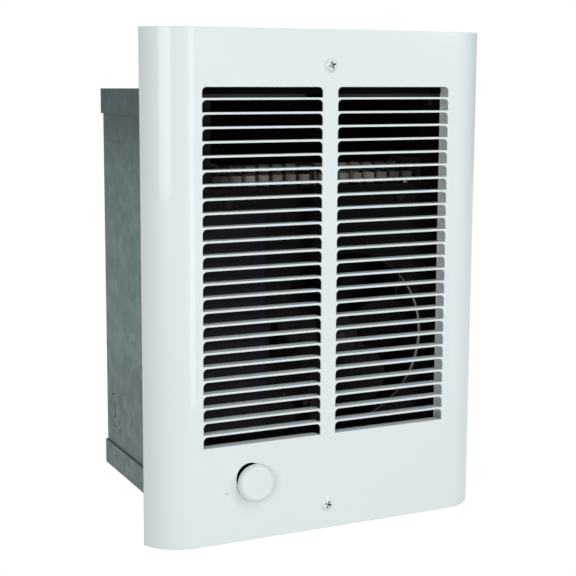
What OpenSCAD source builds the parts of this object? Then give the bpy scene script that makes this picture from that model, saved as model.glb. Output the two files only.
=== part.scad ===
// Recessed wall fan heater with a louvred cover and a thermostat knob.
// X runs along the wall, Y into the wall and Z up. The origin is on the finished wall,
// behind the middle of the cover, so the cover is at negative Y and the wall box at positive Y.

/* [Cover] */
// Width of the cover
cover_w = 231.8; // [230:0.1:236]
// Height of the cover
cover_h = 311.2; // [310:0.1:316]
// How far the cover stands off the wall
cover_d = 18.3; // [18:0.1:19]
// Thickness of the cover's sheet
cover_t = 0.9; // [0.8:0.05:1]
// Radius of the cover's curved sides
side_r = 29; // [28:0.5:30]

/* [Grille] */
// Slots in each of the two columns
slot_count = 26; // [20:1:26]
// Height from one slot to the next
slot_pitch = 8.38; // [8.3:0.01:8.4]
// Height of a slot, and depth of the flap bent in from it
slot_h = 7.1; // [6.8:0.1:7.2]
// Width of a slot
slot_w = 78.75; // [76:0.25:80]
// Width of the bar between the two columns
mullion_w = 10.3; // [10:0.1:12]
// Top of the first slot above the middle of the cover
grille_top = 121.3; // [120:0.1:122]

/* [Wall box] */
// Width of the wall box over its wrapper
box_w = 214; // [213:0.5:215]
// Depth of the wall box
box_d = 96; // [95:0.5:100]
// Top of the wall box above the middle of the cover
box_hi = 119.6; // [119.6:0.1:120.4]
// Bottom of the wall box
box_lo = -130.4; // [-131:0.1:-130.4]
// Thickness of the box's sheet
box_t = 1.2; // [1:0.1:1.2]

/* [Fan] */
// Right of the middle, to the fan's axis
fan_x = 22.5; // [22:0.5:23]
// Height of the fan's axis
fan_z = -38.5; // [-39:0.5:-38]
// Radius of the opening in the chassis
inlet_r = 55.1; // [54.5:0.1:55.5]
// Radius at the tips of the fan's blades
blade_r = 52; // [50:0.5:52]
// Number of blades
blades = 5; // [3:1:6]
// Radius of the motor shaft
shaft_r = 2.5; // [2.4:0.1:2.5]

/* [Thermostat] */
// Right of the middle, to the knob's axis
knob_x = -50.5; // [-51:0.5:-49]
// Height of the knob's axis
knob_z = -119; // [-120:0.5:-119]
// Radius of the knob
knob_r = 11.5; // [10.5:0.1:12]
// Radius of the knob's rounded edge
knob_edge_r = 2.6; // [1:0.1:3]
// How far the knob stands off the cover
knob_out = 6; // [5:0.5:8]

/* [Element] */
// Length of one crimp of the ribbon
crimp = 9.3; // [9:0.05:9.35]
// Crimps in one ribbon
crimps = 16; // [12:2:16]
// How far a crimp stands off the ribbon's middle
crimp_out = 2.2; // [1.5:0.1:2.4]

/* [Hidden] */
$fn = 96;

// Cover
flat_half = cover_w / 2 - sqrt(pow(side_r, 2) - pow(side_r - cover_d, 2));
slot_corner_r = 2.8;
first_slot_less = 0.8;
flap_gap = 0.2;
cover_screw_z = [134.4, -139.9];
cover_screw_turn = [-20, 20];
cover_screw_r = 2.05;
screw_head_r = 4.6;
screw_head_h = 2.4;
knob_hole_r = 9.1;
knob_hole_off = [-2.8, 3.3];
return_in = 88.9;
return_out = cover_w / 2 - 0.6;
return_back = -0.3;
index_pos = [-68.9, -123.2];
index_r = 1.5;

// Wall box
flange_in = 80;
cap_lap = 16;
ear_half = 10;
ear_past = 10;
stud_hole_r = 2.6;
stud_hole_y = 12;
stud_hole_z = 80;
knockout_y = 80;
knockout_z = -91;
knockout_r = 11.1;
inner_hi = box_hi - box_t;
inner_lo = box_lo + box_t;
weld_y = 76;
weld_down = 10.2;
ground_x = 80;
ground_z = -110;
baffle_screw_x = [-60, 60];
baffle_screw_z = 20;
baffle_gap = 0.5;
baffle_t = 0.8;

// Chassis
plate_t = 0.9;
plate_half = 88.6;
plate_lo = -128;
plate_hi = 116.9;
rail_notch = 8.6;
rail_lip = 8;
outlet_left = -71.5;
outlet_right = 76;
outlet_lo = 60;
outlet_hi = 114;
collar_d = 3;
collar_t = 0.8;
collar_flange_r = 57.2;
label_x = [-84, -36];
label_z = [-94, 44];
label_t = 0.2;
seal_y = [-2.9, -1.4];
seal_z = [117.1, 121.8];
seal_half = 87.7;
small_screw_r = 1.9;
small_hole_r = 1.95;
chassis_screw_x = 83.3;
chassis_screw_z = [111, -108];
foot_screw_x = [fan_x - 5.5, fan_x + 5.5];
foot_screw_z = [fan_z - 65.5, fan_z + 65.5];
rivet_x = [-60, 60];
rivet_z = 52;

// Element
rail_z = 56.6;
rail_t = 1;
rail_half = 82.5;
rail_d = 48;
ribbon_t = 0.4;
ribbon_y = [8, 28];
ribbon_z = [[60.4, 67], [69.4, 72.2]];
mica_x = 77;
mica_t = 1.2;
mica_hi = 73.4;
ribbon_end = 80;
bushing_r = 2.6;
bushing_y = 37;
bushing_z = [61.6, 68.6];
pad_top = rail_z + rail_t + 0.8;
terminal_x = 66.5;
terminal_half = 2.2;
terminal_y = 3.2;
terminal_z = 60.4;
cutout_x = -50;
cutout_z = 63.4;
cutout_r = 8.5;
cutout_hole_r = 6.2;

// Motor
stack_y = [40, 58];
stack_half = 29;
stack_hi = 22;
stack_lo = -44;
rotor_r = 15;
pole_gap = 0.4;
leg_lo = -44;
leg_hi = -32;
motor_screw_x = 23;
motor_screw_r = 2;
motor_hole_r = 2.1;
strap_y = 31;
strap_t = 1.2;
strap_half = 10;
arm_half = 28;
strap_reach = 60.5;
foot_reach = 70;
bearing_gap = 0.05;

// Thermostat
body_half = 16;
body_y = [2, 24];
body_z = [-128, -110.5];
shaft_bore = 3.05;
terminal_low = -122.4;

// Wires
connector_x = 52;
connector_y = 76;
connector_z = [-116, -103];
wire_r = 1.3;
wire_sides = 8;
supply_route = [
    [knob_x + 6.4, 31.3, -122], [knob_x + 6.4, 40, -121], [-28, 54, -117], [0, 62, -113],
    [30, 70, -113], [59, 76, -116]
];
switched_route = [
    [knob_x - 6.4, 31.3, -122], [knob_x - 6.4, 40, -120], [-72, 50, -108], [-88, 58, -80],
    [-92, 60, -20], [-88, 66, 30], [-70, 72, 54], [-56, 72, 62], [cutout_x - 4.1, 63.4, cutout_z]
];
cutout_route = [
    [cutout_x + 4.1, 63.4, cutout_z], [-44, 72, 62], [-10, 74, 58], [40, 68, 57], [74, 58, 59],
    [90, 44, 64], [92, 24, 69.6], [88, 10, 70.8], [81.3, 8, 70.8]
];
motor_route = [
    [22.5, 66.2, -80], [22.5, 71, -82], [26, 77, -94], [38, 78, -102], [59, 77.5, -103]
];
return_route = [
    [59, 74.6, -103], [50, 74.4, -102.8], [43, 73.5, -100], [40, 78, -90], [60, 82, -82],
    [86, 76, -60], [94, 58, -20], [96, 40, 30], [95, 20, 54], [90, 9, 63], [81.3, 8, 63.7]
];

// A box between two corners.
module span(a, b) {
    translate(a) cube(b - a);
}

// A profile drawn in X and Z, made into a plate from y0 to y1.
module plate(y0, y1) {
    translate([0, y1, 0]) rotate([90, 0, 0]) linear_extrude(y1 - y0) children();
}

// A round bar along Y.
module bar_y(x, z, y0, y1, r) {
    translate([x, y1, z]) rotate([90, 0, 0]) cylinder(r = r, h = y1 - y0);
}

// A round bar along X.
module bar_x(y, z, x0, x1, r) {
    translate([x0, y, z]) rotate([0, 90, 0]) cylinder(r = r, h = x1 - x0);
}

// A washer or tube along Y.
module tube_y(x, z, y0, y1, r, bore) {
    difference() {
        bar_y(x, z, y0, y1, r);
        bar_y(x, z, y0 - 1, y1 + 1, bore);
    }
}

// A hexagon along Y with a bore.
module nut_y(x, z, y0, y1, r, bore) {
    difference() {
        translate([x, y1, z]) rotate([90, 0, 0]) cylinder(r = r, h = y1 - y0, $fn = 6);
        bar_y(x, z, y0 - 1, y1 + 1, bore);
    }
}

// A domed screw whose head stands on y and whose shank runs to y_end, with a cross recess at this turn.
module dome_screw(x, z, y, y_end, head_r, head_h, r, cross_turn = 0) {
    dome_r = (pow(head_r, 2) + pow(head_h, 2)) / (2 * head_h);
    recess_w = head_r * 0.26;
    recess_l = head_r * 0.95;
    recess_d = head_h * 0.85;
    difference() {
        union() {
            intersection() {
                translate([x, y - head_h + dome_r, z]) sphere(r = dome_r);
                bar_y(x, z, y - head_h - 1, y, head_r);
            }
            bar_y(x, z, y - 0.01, y_end, r);
        }
        for (turn = [cross_turn, cross_turn + 90]) {
            translate([x, y - head_h, z]) rotate([0, turn, 0])
                cube([recess_l, 2 * recess_d, recess_w], center = true);
        }
    }
}

// The cover's section in plan, drawn in by inset and open to the wall at Y = back.
module cover_section(inset, back) {
    intersection() {
        union() {
            translate([-flat_half, -cover_d + inset]) square([2 * flat_half, cover_d + back]);
            for (side = [-1, 1]) {
                translate([side * flat_half, side_r - cover_d]) circle(r = side_r - inset);
            }
        }
        translate([-cover_w, -cover_d + inset]) square([2 * cover_w, cover_d + back - inset]);
    }
}

// Top of the slot with this number, before the first one is lowered.
function slot_top(i) = grille_top + first_slot_less - i * slot_pitch;

// One slot, with its upper corners round, drawn in X and Z.
module slot_shape(i) {
    h = slot_h - (i == 0 ? first_slot_less : 0);
    bottom = slot_top(i) - slot_h;
    translate([0, bottom]) {
        square([slot_w, h - slot_corner_r]);
        translate([slot_corner_r, 0]) square([slot_w - 2 * slot_corner_r, h]);
        for (x = [slot_corner_r, slot_w - slot_corner_r]) {
            translate([x, h - slot_corner_r]) circle(r = slot_corner_r);
        }
    }
}

// One flap, bent in level from the bottom of its slot, with its inner corners round.
module slot_flap(i) {
    w = slot_w - 2 * flap_gap;
    translate([flap_gap, -cover_d, slot_top(i) - slot_h - cover_t]) linear_extrude(cover_t) {
        square([w, slot_h - slot_corner_r]);
        translate([slot_corner_r, 0]) square([w - 2 * slot_corner_r, slot_h]);
        for (x = [slot_corner_r, w - slot_corner_r]) {
            translate([x, slot_h - slot_corner_r]) circle(r = slot_corner_r);
        }
    }
}

// The cover: one sheet with curved sides, whose edges turn in just in front of the wall.
module front_cover() {
    color("#e4e9ea") {
        difference() {
            union() {
                translate([0, 0, -cover_h / 2]) linear_extrude(cover_h) difference() {
                    cover_section(0, 0);
                    cover_section(cover_t, 1);
                }
                for (z = [-cover_h / 2, cover_h / 2 - cover_t]) {
                    translate([0, 0, z]) linear_extrude(cover_t) cover_section(0, 0);
                }
                for (edges = [[-return_out, -return_in], [return_in, return_out]]) {
                    span([edges[0], return_back - cover_t, -cover_h / 2],
                        [edges[1], return_back, cover_h / 2]);
                }
            }
            for (left = [-slot_w - mullion_w / 2, mullion_w / 2]) {
                translate([left, 0, 0]) plate(-cover_d - 1, -cover_d + cover_t + 0.5)
                    for (i = [0 : slot_count - 1]) slot_shape(i);
            }
            bar_y(knob_x + knob_hole_off[0], knob_z + knob_hole_off[1],
                -cover_d - 1, -cover_d + cover_t + 1, knob_hole_r);
            for (z = cover_screw_z) {
                bar_y(0, z, -cover_d - 1, -cover_d + cover_t + 1, cover_screw_r + 0.2);
            }
        }
        for (left = [-slot_w - mullion_w / 2, mullion_w / 2]) {
            translate([left, 0, 0]) for (i = [0 : slot_count - 1]) slot_flap(i);
        }
        translate([index_pos[0], -cover_d + index_r / 4, index_pos[1]]) sphere(r = index_r);
    }
}

module cover_screws() {
    color("#d9dcdc") for (i = [0, 1]) {
        dome_screw(0, cover_screw_z[i], -cover_d, 3, screw_head_r, screw_head_h, cover_screw_r,
            cover_screw_turn[i]);
    }
}

// The knob: a shell with a round front edge, and a hub that goes back through the cover to the shaft.
module control_knob() {
    face_y = -cover_d - knob_out;
    rim_y = -cover_d - 0.8;
    hub_end = -10;
    hub_r = 4.2;
    wall = 1.5;
    depth = rim_y - face_y;
    color("#e8ecec") difference() {
        union() {
            translate([knob_x, rim_y, knob_z]) rotate([90, 0, 0]) rotate_extrude() {
                square([knob_r - knob_edge_r, depth]);
                square([knob_r, depth - knob_edge_r]);
                translate([knob_r - knob_edge_r, depth - knob_edge_r]) intersection() {
                    circle(r = knob_edge_r);
                    square(knob_edge_r);
                }
            }
            bar_y(knob_x, knob_z, rim_y - 1, hub_end, hub_r);
        }
        tube_y(knob_x, knob_z, rim_y - depth + knob_edge_r, rim_y + 0.01, knob_r - wall, hub_r);
        bar_y(knob_x, knob_z, face_y + 2.4, hub_end + 1, 3);
    }
}

// The side of the wall box with this sign: wall, flange turned in at the front.
module box_side(side) {
    x_out = side * box_w / 2;
    x_in = side * (box_w / 2 - box_t);
    difference() {
        union() {
            span([min(x_out, x_in), 0, inner_lo], [max(x_out, x_in), box_d, inner_hi]);
            span([min(x_out, side * flange_in), 0, inner_lo],
                [max(x_out, side * flange_in), box_t, inner_hi]);
        }
        for (z = [-stud_hole_z, stud_hole_z]) {
            bar_x(stud_hole_y, z, min(x_out, x_in) - 1, max(x_out, x_in) + 1, stud_hole_r);
        }
        knockout_cut(side);
        for (z = chassis_screw_z) {
            bar_y(side * chassis_screw_x, z, -1, box_t + 1, small_hole_r);
        }
    }
}

// The ring half sheared round a knockout, left whole at two bridges, and the dent for a screwdriver.
module knockout_cut(side) {
    ring_w = 0.4;
    bridge = 4;
    cut_d = 0.8;
    dent = [2 * cut_d, 1.6, 10];
    difference() {
        bar_x(knockout_y, knockout_z, side * box_w / 2 - cut_d, side * box_w / 2 + cut_d, knockout_r);
        bar_x(knockout_y, knockout_z, side * box_w / 2 - 2, side * box_w / 2 + 2, knockout_r - ring_w);
        translate([side * box_w / 2, knockout_y, knockout_z])
            cube([4, 3 * knockout_r, bridge], center = true);
    }
    translate([side * box_w / 2, knockout_y, knockout_z]) cube(dent, center = true);
}

module wall_box() {
    color("#66716e") difference() {
        union() {
            for (side = [-1, 1]) box_side(side);
            span([-box_w / 2, box_d - box_t, inner_lo], [box_w / 2, box_d, inner_hi]);
        }
        bar_y(ground_x, ground_z, box_d - box_t - 1, box_d + 1, 2.05);
        for (x = baffle_screw_x) {
            bar_y(x, baffle_screw_z, box_d - box_t - 1, box_d + 1, small_hole_r);
        }
    }
}

// A cap for the wall box. up is 1 for the top and -1 for the bottom; edge is its outer level.
module box_cap(up, edge, ear_hole_z) {
    x = box_w / 2 + box_t;
    in_z = edge - up * box_t;
    lap_z = edge - up * cap_lap;
    ear_z = ear_hole_z + up * ear_past;
    weld_z = edge - up * weld_down;
    difference() {
        union() {
            span([-x, 0, min(edge, in_z)], [x, box_d + box_t, max(edge, in_z)]);
            for (side = [-1, 1]) {
                span([side > 0 ? box_w / 2 : -x, 0, min(edge, lap_z)],
                    [side > 0 ? x : -box_w / 2, box_d + box_t, max(edge, lap_z)]);
            }
            span([-x, box_d, min(edge, lap_z)], [x, box_d + box_t, max(edge, lap_z)]);
            span([-ear_half, -box_t, min(in_z, ear_z)], [ear_half, 0, max(in_z, ear_z)]);
        }
        bar_y(0, ear_hole_z, -box_t - 1, 1, cover_screw_r + 0.05);
        for (side = [-1, 1]) translate([side * (x + 2.6), weld_y, weld_z]) sphere(r = 3);
    }
}

module box_top_cap() {
    color("#5d6866") box_cap(1, box_hi, cover_screw_z[0]);
}

module box_bottom_cap() {
    color("#6f7b78") box_cap(-1, box_lo, cover_screw_z[1]);
}

module ground_screw() {
    y = box_d - box_t;
    color("#3f7d4a") difference() {
        union() {
            translate([ground_x, y, ground_z]) rotate([90, 0, 0]) cylinder(r = 4.6, h = 3, $fn = 6);
            bar_y(ground_x, ground_z, y - 0.01, y + 2.2, 2);
        }
        translate([ground_x, y - 3, ground_z]) cube([7, 1.6, 1], center = true);
    }
}

// A strip of foam in front of the box's top edge, which keeps warm air out of the space behind the cover.
module top_seal() {
    color("#0d0e0f") span([-seal_half, seal_y[0], seal_z[0]], [seal_half, seal_y[1], seal_z[1]]);
}

// The plate that carries the fan and the element. Its top rail stops short of the middle and is bent back.
module chassis() {
    color("#191b1c") difference() {
        union() {
            span([-plate_half, -plate_t, plate_lo], [plate_half, 0, plate_hi]);
            span([outlet_left, -plate_t, outlet_hi], [outlet_right, rail_lip, outlet_hi + plate_t]);
        }
        bar_y(fan_x, fan_z, -plate_t - 1, 1, inlet_r);
        span([outlet_left, -plate_t - 1, outlet_lo], [outlet_right, 1, outlet_hi]);
        bar_y(knob_x, knob_z, -plate_t - 1, 1, 5);
        for (x = [-chassis_screw_x, chassis_screw_x]) for (z = chassis_screw_z) {
            bar_y(x, z, -plate_t - 1, 1, small_hole_r);
        }
        for (x = foot_screw_x) for (z = foot_screw_z) bar_y(x, z, -plate_t - 1, 1, small_hole_r);
        for (x = rivet_x) bar_y(x, rivet_z, -plate_t - 1, 1, small_hole_r);
        span([-rail_notch, -plate_t - 1, outlet_hi - 1], [rail_notch, rail_lip + 1, plate_hi + 1]);
    }
}

module chassis_screws() {
    color("#2b2d2e") for (x = [-chassis_screw_x, chassis_screw_x]) for (z = chassis_screw_z) {
        dome_screw(x, z, -plate_t, 6, 3.4, 1.8, small_screw_r);
    }
}

// The bright ring welded behind the plate round the fan's opening.
module inlet_collar() {
    color("#aab2b1") difference() {
        union() {
            bar_y(fan_x, fan_z, 0, collar_t, collar_flange_r);
            bar_y(fan_x, fan_z, 0, collar_d, inlet_r + collar_t);
        }
        bar_y(fan_x, fan_z, -1, collar_d + 1, inlet_r);
    }
}

// The label's place on the chassis, bare.
module rating_label() {
    color("#101213") span([label_x[0], -plate_t - label_t, label_z[0]],
        [label_x[1], -plate_t, label_z[1]]);
}

// The black sheet that lines the back of the box and turns the air forward at the top, with a cheek
// at either end.
module air_baffle() {
    back = box_d - box_t - baffle_gap;
    top = inner_hi - 1;
    turn_r = 40;
    low = -100;
    cheek_low = 40;
    front = 3;
    half = 104;
    bend = [back - turn_r, top - turn_r];
    color("#17191a") difference() {
        union() {
            translate([-half, 0, 0]) rotate([90, 0, 90]) linear_extrude(2 * half) {
                translate([back - baffle_t, low]) square([baffle_t, bend[1] - low]);
                translate([front, top - baffle_t]) square([bend[0] - front, baffle_t]);
                translate(bend) intersection() {
                    difference() {
                        circle(r = turn_r);
                        circle(r = turn_r - baffle_t);
                    }
                    square(turn_r);
                }
            }
            for (x = [-half, half - baffle_t]) {
                translate([x, 0, 0]) rotate([90, 0, 90]) linear_extrude(baffle_t) {
                    translate([front, cheek_low]) square([bend[0] - front, top - cheek_low]);
                    translate([front, cheek_low]) square([back - front, bend[1] - cheek_low]);
                    translate(bend) circle(r = turn_r);
                }
            }
        }
        for (x = baffle_screw_x) {
            bar_y(x, baffle_screw_z, back - baffle_t - 1, back + 1, small_hole_r);
        }
    }
}

module baffle_screws() {
    y = box_d - box_t - baffle_gap - baffle_t;
    color("#b9bdbd") for (x = baffle_screw_x) {
        dome_screw(x, baffle_screw_z, y, box_d + 1, 3.4, 1.8, small_screw_r);
    }
}

// The tray under the element: a rail with a lip behind the chassis and two ends turned up.
module element_carrier() {
    lip_lo = 46;
    color("#8b918f") difference() {
        union() {
            span([-rail_half, 1.4, rail_z], [rail_half, rail_d, rail_z + rail_t]);
            for (x = [-rail_half, rail_half - rail_t]) {
                span([x, 1.4, rail_z], [x + rail_t, rail_d, mica_hi + 1.4]);
            }
            span([-72, 0, lip_lo], [72, 1.4, rail_z + rail_t]);
        }
        for (x = rivet_x) bar_y(x, rivet_z, -1, 3, small_hole_r);
        for (x = [-60 : 24 : 60]) {
            translate([x - 8, 12, rail_z - 1]) cube([16, 26, rail_t + 2]);
        }
        span([rail_half - 2, 4, 60], [rail_half + 1, 12.5, 73]);
    }
}

module carrier_rivets() {
    color("#2b2d2e") for (x = rivet_x) {
        bar_y(x, rivet_z, -plate_t - 0.7, -plate_t, 3);
        bar_y(x, rivet_z, -plate_t, 1.4, small_screw_r);
        bar_y(x, rivet_z, 1.4, 2.3, 2.8);
    }
}

// Three boards that hold the ribbons, with a window round each ribbon.
module mica_supports() {
    color("#a59b83") for (x = [-mica_x, -mica_t / 2, mica_x - mica_t]) {
        end = abs(x) > 10;
        gap_y = end ? 1.2 : crimp_out + 0.8;
        difference() {
            span([x, 2, rail_z + rail_t], [x + mica_t, 42, mica_hi]);
            for (y = ribbon_y) for (level = ribbon_z) {
                span([x - 1, y - gap_y, level[0] - 0.3], [x + mica_t + 1, y + gap_y, level[1] + 0.3]);
            }
        }
    }
    color("#a59b83") span([62, 2.5, rail_z + rail_t], [74, 12, pad_top]);
}

// Where the ribbon's middle is, from its left end to its right end, seen from above.
ribbon_half = crimp * crimps / 2;
ribbon_path = concat(
    [[-ribbon_end, 0], [-ribbon_half, 0]],
    [for (i = [0 : crimps - 1]) each [
        [-ribbon_half + (i + 0.2) * crimp, crimp_out],
        [-ribbon_half + (i + 0.76) * crimp, -crimp_out]
    ]],
    [[ribbon_half, 0], [ribbon_end, 0]]
);

// A crimped ribbon at this depth and between these two levels.
module ribbon(y, level) {
    n = len(ribbon_path);
    edge = concat(
        [for (p = ribbon_path) p + [0, ribbon_t / 2]],
        [for (i = [n - 1 : -1 : 0]) ribbon_path[i] - [0, ribbon_t / 2]]
    );
    color("#aaa79c") translate([0, y, level[0]]) linear_extrude(level[1] - level[0]) polygon(edge);
}

module ribbon_front_lower() {
    ribbon(ribbon_y[0], ribbon_z[0]);
}

module ribbon_front_upper() {
    ribbon(ribbon_y[0], ribbon_z[1]);
}

module ribbon_rear_lower() {
    ribbon(ribbon_y[1], ribbon_z[0]);
}

module ribbon_rear_upper() {
    ribbon(ribbon_y[1], ribbon_z[1]);
}

// Strips that join front ribbon to rear ribbon at the left, and the two rear ribbons at the right.
module ribbon_jumpers() {
    t = 0.6;
    color("#b4b2a8") {
        for (level = ribbon_z) {
            span([-ribbon_end - t, ribbon_y[0] - 2, level[0] + 0.5],
                [-ribbon_end, ribbon_y[1] + 2, level[1] - 0.5]);
        }
        span([ribbon_end, ribbon_y[1] - 2, ribbon_z[0][0] + 0.5],
            [ribbon_end + t, ribbon_y[1] + 2, ribbon_z[1][1] - 0.5]);
    }
}

// Bushings that stand between the carrier's ends and the outer boards.
module ceramic_bushings() {
    color("#e2dccb") for (side = [-1, 1]) for (z = bushing_z) {
        x0 = side > 0 ? mica_x : -rail_half + rail_t;
        x1 = side > 0 ? rail_half - rail_t : -mica_x;
        difference() {
            bar_x(bushing_y, z, x0, x1, bushing_r);
            bar_x(bushing_y, z, x0 - 1, x1 + 1, 1.2);
        }
    }
}

// The upright tab at the right-hand end where the supply reaches the front ribbons.
module element_terminal() {
    left = terminal_x - terminal_half;
    right = terminal_x + terminal_half;
    t = 0.8;
    color("#6d6f6b") difference() {
        union() {
            span([left, terminal_y, pad_top], [right, terminal_y + t, terminal_z + terminal_half]);
            span([left, terminal_y, pad_top], [right, terminal_y + 7.8, pad_top + t]);
        }
        bar_y(terminal_x, terminal_z, terminal_y - 1, terminal_y + t + 1, 1.05);
    }
}

module terminal_screw() {
    color("#e0e2e0") dome_screw(terminal_x, terminal_z, terminal_y, terminal_y + 2, 1.6, 1, 1);
}

module cutout_bracket() {
    left = cutout_x - 14;
    right = cutout_x + 14;
    color("#8b918f") difference() {
        union() {
            span([left, rail_d, rail_z], [right, rail_d + 1, cutout_z + 7]);
            span([left, rail_d - 8, rail_z - 1], [right, rail_d + 1, rail_z]);
        }
        bar_y(cutout_x, cutout_z, rail_d - 1, rail_d + 2, cutout_hole_r);
    }
}

module thermal_cutout() {
    y = rail_d + 1;
    body_d = 7;
    color("#3a3230") {
        bar_y(cutout_x, cutout_z, y, y + body_d, cutout_r);
        bar_y(cutout_x, cutout_z, y - 3, y, cutout_hole_r - 0.2);
    }
    color("#c9c7bd") for (x = cutout_x + [-4.5, 3.7]) {
        span([x, y + body_d, cutout_z - 3], [x + 0.8, y + body_d + 6, cutout_z + 3]);
    }
}

// One blade of the fan, drawn flat from the hub out.
module blade_shape() {
    intersection() {
        circle(r = blade_r);
        union() {
            translate([30, 3]) circle(r = 22.5);
            translate([8, -9]) square([22, 18]);
        }
    }
}

module fan_impeller() {
    hub_r = 13;
    hub_y = [9, 25];
    tilt = 27;
    blade_t = 1.2;
    mid = (hub_y[0] + hub_y[1]) / 2;
    color("#4c5a66") difference() {
        union() {
            tube_y(fan_x, fan_z, hub_y[0], hub_y[1], hub_r, shaft_r);
            translate([fan_x, mid, fan_z]) rotate([90, 0, 0]) intersection() {
                union() for (i = [0 : blades - 1]) {
                    rotate([0, 0, i * 360 / blades]) rotate([tilt, 0, 0])
                        translate([0, 0, -blade_t / 2]) linear_extrude(blade_t) blade_shape();
                }
                cylinder(r = blade_r, h = 40, center = true);
            }
        }
        bar_y(fan_x, fan_z, 0, 40, shaft_r);
    }
}

module impeller_nut() {
    color("#c4c6c4") nut_y(fan_x, fan_z, 5.4, 9, 5, shaft_r);
}

module thrust_washers() {
    color("#d8d2bd") {
        tube_y(fan_x, fan_z, 30.6, 31.6, 4.5, shaft_r);
        tube_y(fan_x, fan_z, 67.2, 68.2, 4.5, shaft_r);
    }
}

module motor_shaft() {
    color("#c6c9ca") bar_y(fan_x, fan_z, 6, 71, shaft_r);
}

// The rotor: end rings and a laminated core.
module motor_rotor() {
    color("#7c8286") {
        tube_y(fan_x, fan_z, stack_y[0] + 0.5, stack_y[1] - 0.5, rotor_r, shaft_r);
        tube_y(fan_x, fan_z, stack_y[0] - 1.3, stack_y[0] + 0.5, rotor_r - 1.5, shaft_r);
        tube_y(fan_x, fan_z, stack_y[1] - 0.5, stack_y[1] + 1.3, rotor_r - 1.5, shaft_r);
    }
}

// The strap that carries the motor: an upright bar behind the fan, with legs and feet to the chassis.
module motor_bracket() {
    half = strap_half;
    color("#7e8583") translate([fan_x, 0, fan_z]) difference() {
        union() {
            span([-half, strap_y, -strap_reach], [half, strap_y + strap_t, strap_reach]);
            span([-arm_half, strap_y, -8], [arm_half, strap_y + strap_t, 8]);
            for (up = [-1, 1]) {
                leg = up * strap_reach;
                leg_in = up * (strap_reach - strap_t);
                foot = up * foot_reach;
                span([-half, 0, min(leg, leg_in)], [half, strap_y + strap_t, max(leg, leg_in)]);
                span([-half, 0, min(leg_in, foot)], [half, strap_t, max(leg_in, foot)]);
            }
        }
        bar_y(0, 0, strap_y - 1, strap_y + 3, 8.6);
        for (x = [-motor_screw_x, motor_screw_x]) bar_y(x, 0, strap_y - 1, strap_y + 3, motor_hole_r);
        for (x = foot_screw_x) for (z = foot_screw_z) {
            bar_y(x - fan_x, z - fan_z, -1, strap_t + 1, small_hole_r);
        }
    }
}

module bracket_screws() {
    color("#2b2d2e") for (x = foot_screw_x) for (z = foot_screw_z) {
        dome_screw(x, z, -plate_t, 4, 3.2, 1.7, small_screw_r);
    }
}

module motor_isolators() {
    color("#232323") for (x = [-motor_screw_x, motor_screw_x]) {
        tube_y(fan_x + x, fan_z, strap_y + strap_t, 35, 4, motor_hole_r);
    }
}

// A bearing bracket: a bar with a boss for the bearing and posts to the stack. y runs from bar to stack.
module bearing_bracket(bar, stack) {
    away = sign(bar - stack);
    far = bar + away * 2;
    boss = bar - away;
    boss_far = bar + away * 3.4;
    translate([fan_x, 0, fan_z]) difference() {
        union() {
            plate(min(bar, far), max(bar, far)) {
                square([50, 13], center = true);
                for (x = [-25, 25]) translate([x, 0]) circle(r = 6.5);
            }
            bar_y(0, 0, min(boss, boss_far), max(boss, boss_far), 8);
            for (x = [-motor_screw_x, motor_screw_x]) bar_y(x, 0, min(bar, stack), max(bar, stack), 4.5);
        }
        bar_y(0, 0, 20, 80, 5);
        for (x = [-motor_screw_x, motor_screw_x]) bar_y(x, 0, 20, 80, motor_hole_r);
    }
}

module front_bearing_bracket() {
    color("#a4aaab") bearing_bracket(37, stack_y[0]);
}

module rear_bearing_bracket() {
    color("#a4aaab") bearing_bracket(61, stack_y[1]);
}

// Sintered bearings pressed into the two brackets' bosses.
module shaft_bearings() {
    color("#a9824a") {
        tube_y(fan_x, fan_z, 32.2, 38, 5, shaft_r + bearing_gap);
        tube_y(fan_x, fan_z, 60, 66.4, 5, shaft_r + bearing_gap);
    }
}

// The stack of stator sheets: two pole arms round the rotor and a leg below for the coil.
module motor_stator() {
    color("#8d9396") translate([fan_x, 0, fan_z]) plate(stack_y[0], stack_y[1]) difference() {
        translate([-stack_half, stack_lo]) square([2 * stack_half, stack_hi - stack_lo]);
        circle(r = rotor_r + pole_gap);
        translate([-17, leg_hi]) square([34, -19 - leg_hi]);
        for (x = [-motor_screw_x, motor_screw_x]) translate([x, 0]) circle(r = motor_hole_r);
        for (side = [-1, 1]) translate([side * 14.6, side * 8.6]) circle(r = 1.6);
        for (x = [-19, 19]) translate([x, 14]) circle(r = 1.6);
    }
}

// Copper loops through the poles that start the motor turning.
module shading_rings() {
    low = 14;
    high = stack_hi + 1.6;
    ends = [stack_y[0] - 1.6, stack_y[1] + 1.6];
    color("#b8703f") translate([fan_x, 0, fan_z]) for (x = [-19, 19]) {
        for (z = [low, high]) {
            bar_y(x, z, ends[0], ends[1], 1.4);
            for (y = ends) translate([x, y, z]) sphere(r = 1.4);
        }
        for (y = ends) translate([x, y, low]) cylinder(r = 1.4, h = high - low);
    }
}

module coil_bobbin() {
    tube = [[-13.4, stack_y[0] - 1.6, leg_lo - 1.6], [13.4, stack_y[1] + 1.6, leg_hi + 1.6]];
    color("#e6e1d2") translate([fan_x, 0, fan_z]) difference() {
        union() {
            span(tube[0], tube[1]);
            for (x = [-14.8, 13.4]) {
                span([x, stack_y[0] - 8, leg_lo - 6.5], [x + 1.4, stack_y[1] + 8, leg_hi + 6.5]);
            }
        }
        span([-20, stack_y[0] - 0.2, leg_lo - 0.2], [20, stack_y[1] + 0.2, leg_hi + 0.2]);
    }
}

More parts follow.
